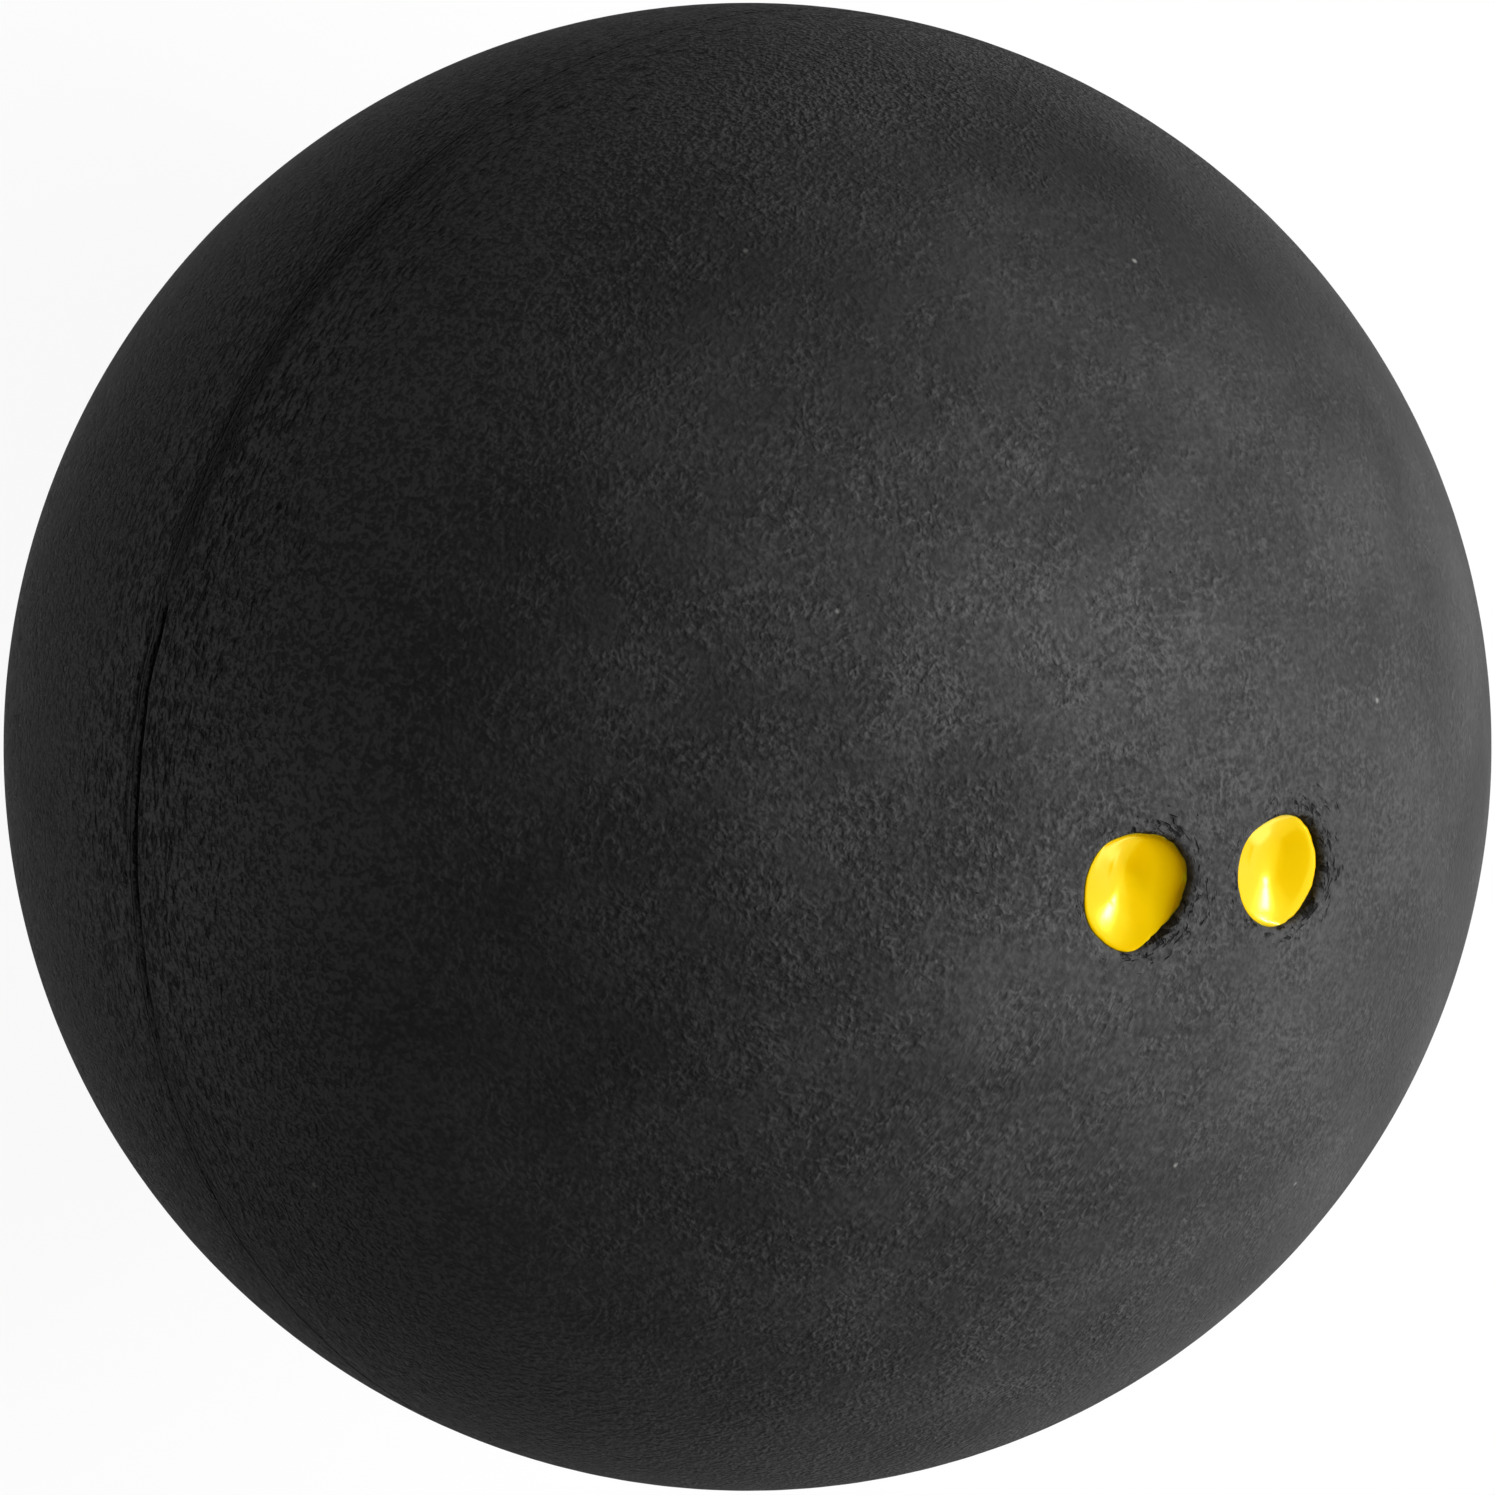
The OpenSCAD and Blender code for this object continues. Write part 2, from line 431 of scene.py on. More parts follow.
    # colour
    mottleShare = add("ShaderNodeMapRange", [noise["mottle"], *look["mottleEdge"]])
    contrast = add("ShaderNodeMapRange", [fromSeam, *look["contrastFade"]])
    rightShare = add("ShaderNodeMapRange", [x, *look["rightFade"]])
    contrast = add("ShaderNodeMath", [contrast, rightShare], operation="MULTIPLY")
    pale = add("ShaderNodeMath", [level, contrast, look["paleness"]], operation="MULTIPLY_ADD")
    pale = add("ShaderNodeMath", [pale, mottleShare], operation="ADD", use_clamp=True)
    pale = add("ShaderNodeMath", [pale, look["palePower"]], operation="POWER")
    colour = add("ShaderNodeMix", [pale, srgb(look["dark"]), srgb(look["light"])], data_type="RGBA")
    # painted light and shade in broad patches, paler and darker than the rubber around them, with pale worn
    # smudges among them
    paintedLightAndWear = 1.0
    for middle, reach, gain in look["paintedLightAndWear"]:
        away = add("ShaderNodeVectorMath", [inMm, middle], operation="DISTANCE")
        near = add("ShaderNodeMapRange", [away, 0.0, reach, gain, 0.0], interpolation_type="SMOOTHSTEP")
        paintedLightAndWear = add("ShaderNodeMath", [near, paintedLightAndWear])
    colour = add("ShaderNodeVectorMath", [colour, paintedLightAndWear], operation="SCALE")
    # the cracks and the painted shade turn the colour towards black
    colour = add("ShaderNodeMix", [crackAndShadeShare, colour, srgb(look["black"])], data_type="RGBA")
    flecks = add("ShaderNodeTexVoronoi", {"Vector": inMm, "Scale": 1 / look["fleckSpacing"]})
    fleckShare = add("ShaderNodeMapRange", [flecks, *look["fleckEdge"]])
    colour = add("ShaderNodeMix", [fleckShare, colour, srgb(look["fleck"])], data_type="RGBA")

    # relief
    depth = add("ShaderNodeMapRange", [fromSeam, *look["reliefFade"]])
    relief = add("ShaderNodeMath", [level, depth], operation="MULTIPLY")
    relief = add("ShaderNodeMath", [cracks, -look["crackDepth"], relief], operation="MULTIPLY_ADD")
    roughness = add("ShaderNodeMath", [level, look["roughnessGain"], look["roughness"]],
                    operation="MULTIPLY_ADD")
    shader = add("ShaderNodeBsdfPrincipled", {
        "Base Color": colour, "Roughness": roughness, "Specular IOR Level": look["specular"],
        "Normal": add("ShaderNodeBump", {"Height": relief, "Distance": mm})})
    add("ShaderNodeOutputMaterial", [shader])
    return material


paintLook = {
    "colour": "#f7c600",
    "thin": "#5a5610",  # where a thin film lets the black rubber through
    "thinFilm": 0.09,  # mm
    "gloss": "#a9ff00",  # a lamp's reflection turns the gold of the pigment to lemon, and only then to white
    "roughness": 0.16,
    "specular": 1.0,
    "rippleSize": 0.6,  # mm
    "rippleDepth": 0.004,  # mm
}


def makeEnamelPaint(look):
    # Yellow enamel, dried in a dimple: glossy, so a lamp shows in it as one small white streak
    material = bpy.data.materials.new("glossEnamelPaint")
    tree = emptyTree(material)
    add = partial(addNode, tree)
    thick = add("ShaderNodeAttribute", attribute_name="thick").outputs["Fac"]
    cover = add("ShaderNodeMapRange", [thick, 0.0, look["thinFilm"] * mm, 0.0, 1.0])
    colour = add("ShaderNodeMix", [cover, srgb(look["thin"]), srgb(look["colour"])], data_type="RGBA")
    ripple = add("ShaderNodeTexNoise", {
        "Vector": placeInMm(tree), "Scale": 1 / look["rippleSize"], "Detail": 2.0})
    shader = add("ShaderNodeBsdfPrincipled", {
        "Base Color": colour, "Roughness": look["roughness"], "Specular IOR Level": look["specular"],
        "Specular Tint": srgb(look["gloss"]),
        "Normal": add("ShaderNodeBump", {"Height": ripple, "Distance": look["rippleDepth"] * mm})})
    add("ShaderNodeOutputMaterial", [shader])
    return material


cementLook = {
    "colour": "#2a2a2a",
    "pale": "#666666",
    "lumpSize": 0.2,  # mm
    "lumpDepth": 0.03,  # mm
    "roughness": 0.8,
    "specular": 0.1,
}


def makeCuredCement(look):
    # Rubber cement, cured in the press: dull and lumpy, with pale high spots that the buffing has reached
    material = bpy.data.materials.new("curedRubberCement")
    tree = emptyTree(material)
    lumps = addNode(tree, "ShaderNodeTexNoise", {
        "Vector": placeInMm(tree), "Scale": 1 / look["lumpSize"], "Detail": 3.0})
    colour = addNode(tree, "ShaderNodeMix", [lumps, srgb(look["colour"]), srgb(look["pale"])],
                     data_type="RGBA")
    shader = addNode(tree, "ShaderNodeBsdfPrincipled", {
        "Base Color": colour, "Roughness": look["roughness"], "Specular IOR Level": look["specular"],
        "Normal": addNode(tree, "ShaderNodeBump", {"Height": lumps, "Distance": look["lumpDepth"] * mm})})
    addNode(tree, "ShaderNodeOutputMaterial", [shader])
    return material


rubber = makeBuffedRubber(rubberLook)
paint = makeEnamelPaint(paintLook)
cement = makeCuredCement(cementLook)
print("materials made")


# Half shells, each a skin of rings about the pole, a bonding face and the cavity's wall

seamPlan = {
    "halfFilm": 0.05 * mm,  # half the cement film
    "waveHeight": 0.06 * mm,  # how far the seam wanders to either side of its plane
    "waveScale": 9.0,
    "waveReach": 3.0 * mm,  # from the seam's plane
    "notchPlace": 0.2 * mm,  # the crease's distance from the seam's plane
    "notchWidth": 0.075 * mm,
    "notchDepth": 0.12 * mm,
    "patchScale": 16.0,
    "patchEdge": (0.75, 1.25, 0.0, 1.0),
    "creaseShares": [  # degrees round the ball, and how strong and unbroken the crease is there
        (-180, 0.75), (-165, 0.45), (-131, 0.15), (-90, 0.4), (0, 0.5), (60, 0.35), (100, 0.15), (120, 0.05),
        (140, 0.05), (157, 0.08), (162, 0.25), (166, 0.9), (169, 1.0), (178, 1.0), (180, 0.75)],
}

dottedShellSizes = {
    "ballRadius": ballRadius,
    "wall": 5.2 * mm,
    "rings": 144,
    "capRings": 72,
    "seamRings": 30,
    "capArc": 4.4 * mm,
    "seamArc": 1.2 * mm,
    "side": 1.0,
    "dimpleShare": 1.0,
    "notchStrength": 1.0,
    "lineShare": 1.0,
    "seed": 3.0,
}

plainShellSizes = dict(
    dottedShellSizes, rings=110, capRings=22, side=-1.0, dimpleShare=0.0, notchStrength=0.8, lineShare=0.45,
    seed=7.0)

innerRings = {"bond": 3, "wall": 9}  # across the bonding face, and up the cavity's wall to its pole


def seamWander(tree, seam):
    # an offset along the ball's axis that is the same for every piece at the seam, and dies out away from it
    add = partial(addNode, tree)
    place = add("GeometryNodeInputPosition")
    x, y, z = add("ShaderNodeSeparateXYZ", [place]).outputs
    wave = add("ShaderNodeTexNoise", {
        "Vector": aroundBall(tree, x, y), "Scale": seam["waveScale"], "Detail": 2.0})
    size = add("ShaderNodeMapRange", [wave, 0.3, 0.7, -seam["waveHeight"], seam["waveHeight"]])
    away = add("ShaderNodeMath", [z], operation="ABSOLUTE")
    near = add("ShaderNodeMapRange", [away, 0.0, seam["waveReach"], 1.0, 0.0],
               interpolation_type="SMOOTHSTEP")
    lift = add("ShaderNodeMath", [size, near], operation="MULTIPLY")
    return add("ShaderNodeCombineXYZ", [0.0, 0.0, lift])


def shellTree(sizes, seam, dimple, inner):
    tree = newShapeTree("halfShell", sizes)
    add = partial(addNode, tree)
    given = add("NodeGroupInput").outputs
    place = add("GeometryNodeInputPosition")

    # a square grid, whose square rings become round rings about the pole
    count = add("ShaderNodeMath", [given["rings"], 2.0, 1.0], operation="MULTIPLY_ADD")
    square = add("GeometryNodeMeshGrid", [2.0, 2.0, count, count])
    x, y, z = add("ShaderNodeSeparateXYZ", [place]).outputs
    sizeX = add("ShaderNodeMath", [x], operation="ABSOLUTE")
    sizeY = add("ShaderNodeMath", [y], operation="ABSOLUTE")
    isWide = add("ShaderNodeMath", [sizeX, sizeY], operation="GREATER_THAN")
    main = add("ShaderNodeMix", [isWide, y, x])
    other = add("ShaderNodeMix", [isWide, x, y])
    slope = add("ShaderNodeMath", [other, main], operation="DIVIDE")
    eighth = add("ShaderNodeMath", [slope, math.pi / 4], operation="MULTIPLY")
    upright = add("ShaderNodeMath", [math.pi / 2, eighth], operation="SUBTRACT")
    skinTurn = add("ShaderNodeMix", [isWide, upright, eighth])
    skinSign = add("ShaderNodeMath", [main], operation="SIGN")
    mainSize = add("ShaderNodeMath", [main], operation="ABSOLUTE")
    ring = add("ShaderNodeMath", [mainSize, given["rings"]], operation="MULTIPLY")

    # the rings' distances from the pole: close together in the cap and at the seam, wider between
    quarter = add("ShaderNodeMath", [given["ballRadius"], math.pi / 2, -seam["halfFilm"]],
                  operation="MULTIPLY_ADD")
    seamStart = add("ShaderNodeMath", [given["rings"], given["seamRings"]], operation="SUBTRACT")
    ends = add("ShaderNodeMath", [given["capArc"], given["seamArc"]])
    between = add("ShaderNodeMath", [quarter, ends], operation="SUBTRACT")
    capPart = add("ShaderNodeMapRange", [ring, 0.0, given["capRings"], 0.0, given["capArc"]])
    midPart = add("ShaderNodeMapRange", [ring, given["capRings"], seamStart, 0.0, between])
    seamPart = add("ShaderNodeMapRange", [ring, seamStart, given["rings"], 0.0, given["seamArc"]])
    skinArc = add("ShaderNodeMath", [capPart, midPart])
    skinArc = add("ShaderNodeMath", [skinArc, seamPart])
    skinTilt = add("ShaderNodeMath", [skinArc, given["ballRadius"]], operation="DIVIDE")

    def onSphere(tilt, turn, sign, radius):
        sine = add("ShaderNodeMath", [tilt], operation="SINE")
        reach = add("ShaderNodeMath", [sine, sign], operation="MULTIPLY")
        across = [add("ShaderNodeMath", [share, reach], operation="MULTIPLY")
                  for share in cosAndSin(tree, turn)]
        height = add("ShaderNodeMath", [tilt], operation="COSINE")
        unit = add("ShaderNodeCombineXYZ", [*across, height])
        return add("ShaderNodeVectorMath", [unit, radius], operation="SCALE")

    skin = add("GeometryNodeSetPosition", {
        "Geometry": square, "Position": onSphere(skinTilt, skinTurn, skinSign, given["ballRadius"])})
    skin = add("GeometryNodeStoreNamedAttribute", [skin, None, "skin", 1.0])

    # a strip that goes across the bonding face, and then up the cavity's wall to its pole
    columns = inner["bond"] + inner["wall"]
    bondEnd = -1.0 + 2.0 * inner["bond"] / columns
    stripTurns = add("ShaderNodeMath", [given["rings"], 8.0, 1.0], operation="MULTIPLY_ADD")
    strip = add("GeometryNodeMeshGrid", [2.0, 2.0, columns + 1, stripTurns])
    across = add("ShaderNodeMapRange", [x, -1.0, bondEnd, 0.0, 1.0])
    upWall = add("ShaderNodeMapRange", [x, bondEnd, 1.0, 1.0, 0.0])
    edgeTilt = add("ShaderNodeMath", [quarter, given["ballRadius"]], operation="DIVIDE")
    stripTilt = add("ShaderNodeMath", [edgeTilt, upWall], operation="MULTIPLY")
    stripTurn = add("ShaderNodeMath", [y, math.pi], operation="MULTIPLY")
    stripDrop = add("ShaderNodeMath", [across, given["wall"]], operation="MULTIPLY")
    stripRadius = add("ShaderNodeMath", [given["ballRadius"], stripDrop], operation="SUBTRACT")
    strip = add("GeometryNodeSetPosition", {
        "Geometry": strip, "Position": onSphere(stripTilt, stripTurn, 1.0, stripRadius)})
    skinShare = add("ShaderNodeMath", [1.0, across], operation="SUBTRACT")
    strip = add("GeometryNodeStoreNamedAttribute", [strip, None, "skin", skinShare])
    joined = add("GeometryNodeJoinGeometry", [skin])
    tree.links.new(strip.outputs[0], joined.inputs[0])
    shell = add("GeometryNodeMergeByDistance", {"Geometry": joined, "Distance": 1e-8})
    isSkin = add("GeometryNodeInputNamedAttribute", ["skin"])

    # rings drawn together at the dimples' rims
    for dot in dotPlans.values():
        off = splitAtAxis(tree, place, dotFrame(dot)[0])[1]
        far = add("ShaderNodeVectorMath", [off], operation="LENGTH")
        past = add("ShaderNodeMath", [far, dot["radius"]], operation="SUBTRACT")
        phase = add("ShaderNodeMath", [past, math.pi / dimple["tightReach"]], operation="MULTIPLY")
        wave = add("ShaderNodeMath", [phase], operation="SINE")
        pastSize = add("ShaderNodeMath", [past], operation="ABSOLUTE")
        pull = add("ShaderNodeMath", [pastSize, dimple["tightReach"]], operation="LESS_THAN")
        for share in (wave, isSkin, -dimple["tightening"]):
            pull = add("ShaderNodeMath", [pull, share], operation="MULTIPLY")
        offUnit = add("ShaderNodeVectorMath", [off], operation="NORMALIZE")
        shift = add("ShaderNodeVectorMath", [offUnit, pull], operation="SCALE")
        shell = add("GeometryNodeSetPosition", {"Geometry": shell, "Offset": shift})
    radiusHere = add("ShaderNodeVectorMath", [place], operation="LENGTH")
    toRound = add("ShaderNodeMath", [given["ballRadius"], radiusHere], operation="DIVIDE")
    rounded = add("ShaderNodeVectorMath", [place, toRound], operation="SCALE")
    isWholeSkin = add("ShaderNodeMath", [isSkin, 0.99], operation="GREATER_THAN")
    shell = add("GeometryNodeSetPosition", [shell, isWholeSkin, rounded])

    # the dimples, pressed in along their own axes
    for label, dot in dotPlans.items():
        first, second = [add("ShaderNodeVectorMath", [place, way], operation="DOT_PRODUCT")
                         for way in dotFrame(dot)[1:]]
        turn = add("ShaderNodeMath", [second, first], operation="ARCTAN2")
        flatSpot = add("ShaderNodeCombineXYZ", [first, second, 0.0])
        far = add("ShaderNodeVectorMath", [flatSpot], operation="LENGTH")
        share = add("ShaderNodeMath", [far, rimRadiusAt(tree, turn, dot)], operation="DIVIDE")
        depth = rubberDepthAt(tree, share, dimple)
        for share in (given["dimpleShare"], isWholeSkin):
            depth = add("ShaderNodeMath", [depth, share], operation="MULTIPLY")
        shell = add("GeometryNodeStoreNamedAttribute", [shell, None, label + "Depth", depth])
    depths = []
    for label, dot in dotPlans.items():
        depth = add("GeometryNodeInputNamedAttribute", [label + "Depth"])
        push = add("ShaderNodeVectorMath", [-dotFrame(dot)[0], depth], operation="SCALE")
        shell = add("GeometryNodeSetPosition", {"Geometry": shell, "Offset": push})
        depths.append(depth)
    # how far a point is pressed in, which the rubber's material turns into painted shade on the dimples'
    # walls
    deepest = add("ShaderNodeMath", depths)
    pressed = add("ShaderNodeMath", [deepest, dimple["depth"]], operation="DIVIDE")
    shell = add("GeometryNodeStoreNamedAttribute", [shell, None, "pressed", pressed])

    # the crease along the seam
    around = aroundBall(tree, x, y)
    heading = add("ShaderNodeMath", [y, x], operation="ARCTAN2")
    heading = add("ShaderNodeMath", [heading, 0.5 / math.pi, 0.5], operation="MULTIPLY_ADD")
    unbroken = add("ShaderNodeFloatCurve", {"Value": heading})
    setCurve(unbroken, [(0.5 + degrees / 360, share) for degrees, share in seam["creaseShares"]])
    patchy = add("ShaderNodeTexNoise", {
        "Vector": around, "W": given["seed"], "Scale": seam["patchScale"], "Detail": 3.0},
        noise_dimensions="4D")
    strength = add("ShaderNodeMath", [unbroken, given["lineShare"], patchy], operation="MULTIPLY_ADD")
    strength = add("ShaderNodeMapRange", [strength, *seam["patchEdge"]])
    offLine = add("ShaderNodeMath", [z, seam["notchPlace"]], operation="SUBTRACT")
    offLine = add("ShaderNodeMath", [offLine, seam["notchWidth"]], operation="DIVIDE")
    offSquare = add("ShaderNodeMath", [offLine, offLine], operation="MULTIPLY")
    notch = add("ShaderNodeMath", [1 / math.e, offSquare], operation="POWER")
    for share in (strength, given["notchStrength"], isWholeSkin):
        notch = add("ShaderNodeMath", [notch, share], operation="MULTIPLY")
    # the crease's strength, which the rubber's material also turns into painted shade along it
    shell = add("GeometryNodeStoreNamedAttribute", [shell, None, "crease", notch])
    creased = add("GeometryNodeInputNamedAttribute", ["crease"])
    sink = add("ShaderNodeMath", [creased, -seam["notchDepth"]], operation="MULTIPLY")
    inwards = add("ShaderNodeVectorMath", [around, sink], operation="SCALE")
    shell = add("GeometryNodeSetPosition", {"Geometry": shell, "Offset": inwards})

    # the lower half is the upper one turned over, and the seam wanders a little on both
    below = add("ShaderNodeMath", [z, given["side"]], operation="MULTIPLY")
    sided = add("ShaderNodeCombineXYZ", [x, y, below])
    shell = add("GeometryNodeSetPosition", {"Geometry": shell, "Position": sided})
    isBelow = add("ShaderNodeMath", [given["side"], 0.0], operation="LESS_THAN")
    shell = add("GeometryNodeFlipFaces", [shell, isBelow])
    shell = add("GeometryNodeSetPosition", {"Geometry": shell, "Offset": seamWander(tree, seam)})
    endShapeTree(tree, shadeRound(tree, shell), given["material"])
    return tree


halfShell = shellTree(dottedShellSizes, seamPlan, dimplePlan, innerRings)
dottedShell = growPiece("dottedHalfShell", halfShell, dottedShellSizes, rubber)
plainShell = growPiece("plainHalfShell", halfShell, plainShellSizes, rubber)
for piece, node in ((dottedShell, "dotted_half_shell"), (plainShell, "plain_half_shell")):
    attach(piece, "root")
    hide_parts(node)


# Paint dots, each a dried drop that sinks to a funnel and thins out up the dimple's wall

leftPaintSizes = {
    "edgeWobble": 0.008,
    "edgeDepth": -0.03 * mm,  # below the ball's surface
    "funnelDepth": 0.6 * mm,
    "funnelReach": 1.3,
    "apexAcross": 0.16,  # shares of the dot's radius
    "apexUp": 0.03,
    "flatTurn": 0.6,  # the direction in which the funnel's far side lies flat and deep
    "flatPull": 0.36,
    "valleyTurn": -0.85,  # the direction in which the funnel is drawn out
    "valleyPull": 0.15,
    "valleyDepth": 0.065 * mm,  # of a groove that runs from the apex against that direction
    "leastFilm": 0.04 * mm,
    "ripple": 0.01 * mm,
    "turns": 176,
    "rings": 56,
    "seed": 2.0,
}

rightPaintSizes = dict(
    leftPaintSizes, edgeDepth=0.16 * mm, funnelDepth=0.35 * mm, funnelReach=1.0, apexAcross=0.02,
    apexUp=0.24, flatTurn=-2.4, flatPull=0.22, valleyTurn=1.6, valleyPull=0.0, valleyDepth=0.0, ripple=0.0,
    seed=6.0)

paintPlan = {
    "funnelShares": [  # shares of the funnel's reach, and how deep it is there
        (0.0, 1.0), (0.08, 0.985), (0.19, 0.93), (0.31, 0.83), (0.46, 0.635), (0.62, 0.42), (0.77, 0.23),
        (0.89, 0.1), (1.0, 0.03)],
    "flatEdge": (-0.5, 0.8, 0.0, 1.0),
    "valleyLength": 0.5,  # shares of the dot's radius
    "valleyWidth": 0.26,
    "valleyShift": 0.6,
    "softness": 0.06 * mm,  # of the change from funnel to wall
    "filmPower": 8.0,  # the higher, the closer to its edge the paint thins out
    "edgePower": 28.0,
    "swellScale": 1.6,
    "wobbleScale": 4.0,
    "noiseEdge": (0.3, 0.7, -1.0, 1.0),
}


def paintTree(name, sizes, dot, dimple, plan):
    tree = newShapeTree(name, sizes)
    add = partial(addNode, tree)
    given = add("NodeGroupInput").outputs
    columns = add("ShaderNodeMath", [given["rings"], 2.0, 1.0], operation="MULTIPLY_ADD")
    rows = add("ShaderNodeMath", [given["turns"], 1.0])
    grid = add("GeometryNodeMeshGrid", [2.0, 2.0, columns, rows])

    # across the grid: from the top's middle out to the edge, and back under the paint to the middle
    corner = add("ShaderNodeSeparateXYZ", [add("GeometryNodeInputPosition")]).outputs
    across = add("ShaderNodeMath", [corner[0]], operation="ABSOLUTE")
    share = add("ShaderNodeMath", [1.0, across], operation="SUBTRACT")
    isUnder = add("ShaderNodeMath", [corner[0], 0.0], operation="GREATER_THAN")
    turn = add("ShaderNodeMath", [corner[1], math.pi], operation="MULTIPLY")
    alongX, alongY = cosAndSin(tree, turn)
    heading = add("ShaderNodeCombineXYZ", [alongX, alongY, 0.0])
    wobble = add("ShaderNodeTexNoise", {
        "Vector": heading, "W": given["seed"], "Scale": plan["wobbleScale"], "Detail": 3.0},
        noise_dimensions="4D")
    wobble = add("ShaderNodeMapRange", [wobble, *plan["noiseEdge"]])
    wobble = add("ShaderNodeMath", [wobble, given["edgeWobble"]], operation="MULTIPLY")
    edgeShare = add("ShaderNodeMath", [shareByTurn(tree, turn, dot["paintEdge"]), wobble])
    dimpleShare = add("ShaderNodeMath", [share, edgeShare], operation="MULTIPLY")
    far = add("ShaderNodeMath", [dimpleShare, rimRadiusAt(tree, turn, dot)], operation="MULTIPLY")
    rubberDepth = rubberDepthAt(tree, dimpleShare, dimple)

    # the funnel: its lowest point leans to one side, its far side is flatter, and a valley runs through it
    roundShare = add("ShaderNodeMath", [far, dot["radius"]], operation="DIVIDE")
    spot = add("ShaderNodeVectorMath", [heading, roundShare], operation="SCALE")
    shareSquare = add("ShaderNodeMath", [roundShare, roundShare], operation="MULTIPLY")
    lean = add("ShaderNodeMath", [1.0, shareSquare], operation="SUBTRACT", use_clamp=True)
    apex = add("ShaderNodeCombineXYZ", [given["apexAcross"], given["apexUp"], 0.0])
    leaning = add("ShaderNodeVectorMath", [spot, apex], operation="SUBTRACT")
    leanUnit = add("ShaderNodeVectorMath", [leaning], operation="NORMALIZE")
    flatSpot, valley = [
        add("ShaderNodeSeparateXYZ", [add("ShaderNodeVectorRotate", {
            "Vector": way, "Angle": angle}, rotation_type="Z_AXIS", invert=True)])
        for way, angle in ((leanUnit, given["flatTurn"]), (leaning, given["valleyTurn"]))]
    flat = add("ShaderNodeMapRange", [flatSpot, *plan["flatEdge"]], interpolation_type="SMOOTHSTEP")
    flat = add("ShaderNodeMath", [flat, given["flatPull"]], operation="MULTIPLY")
    steep = add("ShaderNodeMath", [1.0, flat], operation="SUBTRACT")
    pull = add("ShaderNodeMath", [given["valleyPull"], lean], operation="MULTIPLY")
    keep = add("ShaderNodeMath", [1.0, pull], operation="SUBTRACT")
    alongValley = add("ShaderNodeMath", [valley, keep], operation="MULTIPLY")
    funnelSpot = add("ShaderNodeCombineXYZ", [alongValley, valley.outputs[1], 0.0])
    funnelFar = add("ShaderNodeVectorMath", [funnelSpot], operation="LENGTH")
    funnelFar = add("ShaderNodeMath", [funnelFar, steep], operation="MULTIPLY")
    funnelFar = add("ShaderNodeMath", [funnelFar, given["funnelReach"]], operation="DIVIDE")
    funnel = add("ShaderNodeFloatCurve", {"Value": funnelFar})
    setCurve(funnel, plan["funnelShares"])
    funnel = add("ShaderNodeMath", [funnel, given["funnelDepth"], given["edgeDepth"]],
                 operation="MULTIPLY_ADD")
    alongShare = add("ShaderNodeMath", [valley, plan["valleyLength"]], operation="DIVIDE")
    alongShare = add("ShaderNodeMath", [alongShare, plan["valleyShift"]])
    acrossShare = add("ShaderNodeMath", [valley.outputs[1], plan["valleyWidth"]], operation="DIVIDE")
    groove = add("ShaderNodeCombineXYZ", [alongShare, acrossShare, 0.0])
    groove = add("ShaderNodeVectorMath", [groove, groove], operation="DOT_PRODUCT")
    groove = add("ShaderNodeMath", [1 / math.e, groove], operation="POWER")
    funnel = add("ShaderNodeMath", [groove, given["valleyDepth"], funnel], operation="MULTIPLY_ADD")
    swell = add("ShaderNodeTexNoise", {
        "Vector": spot, "W": given["seed"], "Scale": plan["swellScale"], "Detail": 1.0},
        noise_dimensions="4D")
    swell = add("ShaderNodeMapRange", [swell, *plan["noiseEdge"]])
    swell = add("ShaderNodeMath", [swell, lean], operation="MULTIPLY")
    funnel = add("ShaderNodeMath", [swell, given["ripple"], funnel], operation="MULTIPLY_ADD")

    # the paint stays above the rubber, and its film dies out at the edge
    edging = add("ShaderNodeMath", [share, plan["filmPower"]], operation="POWER")
    film = add("ShaderNodeMath", [1.0, edging], operation="SUBTRACT")
    film = add("ShaderNodeMath", [film, given["leastFilm"]], operation="MULTIPLY")
    lowest = add("ShaderNodeMath", [rubberDepth, film], operation="SUBTRACT")
    topDepth = add("ShaderNodeMath", [funnel, lowest, plan["softness"]], operation="SMOOTH_MIN")
    rolled = add("ShaderNodeMath", [share, plan["edgePower"]], operation="POWER")
    topDepth = add("ShaderNodeMix", [rolled, topDepth, rubberDepthAt(tree, edgeShare, dimple)])
    thick = add("ShaderNodeMath", [rubberDepth, topDepth], operation="SUBTRACT")
    depth = add("ShaderNodeMix", [isUnder, topDepth, rubberDepth])
    farSquare = add("ShaderNodeMath", [far, far], operation="MULTIPLY")
    height = add("ShaderNodeMath", [ballRadius ** 2, farSquare], operation="SUBTRACT")
    height = add("ShaderNodeMath", [height], operation="SQRT")
    height = add("ShaderNodeMath", [height, depth], operation="SUBTRACT")
    partOut, partX, partY = [
        add("ShaderNodeVectorMath", [way, share], operation="SCALE")
        for way, share in zip(dotFrame(dot), (height, alongX, alongY))]
    flatPlace = add("ShaderNodeVectorMath", [partX, partY])
    flatPlace = add("ShaderNodeVectorMath", [flatPlace, far], operation="SCALE")
    place = add("ShaderNodeVectorMath", [partOut, flatPlace])
    drop = add("GeometryNodeStoreNamedAttribute", [grid, None, "thick", thick])
    drop = add("GeometryNodeSetPosition", {"Geometry": drop, "Position": place})
    drop = add("GeometryNodeMergeByDistance", {"Geometry": drop, "Distance": 1e-7})
    endShapeTree(tree, add("GeometryNodeSetShadeSmooth", [drop]), given["material"])
    return tree


for name, node, sizes in (
        ("leftDot", "left_dot", leftPaintSizes), ("rightDot", "right_dot", rightPaintSizes)):
    dotTree = paintTree(name, sizes, dotPlans[name], dimplePlan, paintPlan)
    piece = growPiece(name, dotTree, sizes, paint)
    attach(piece, "root")
    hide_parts(node)


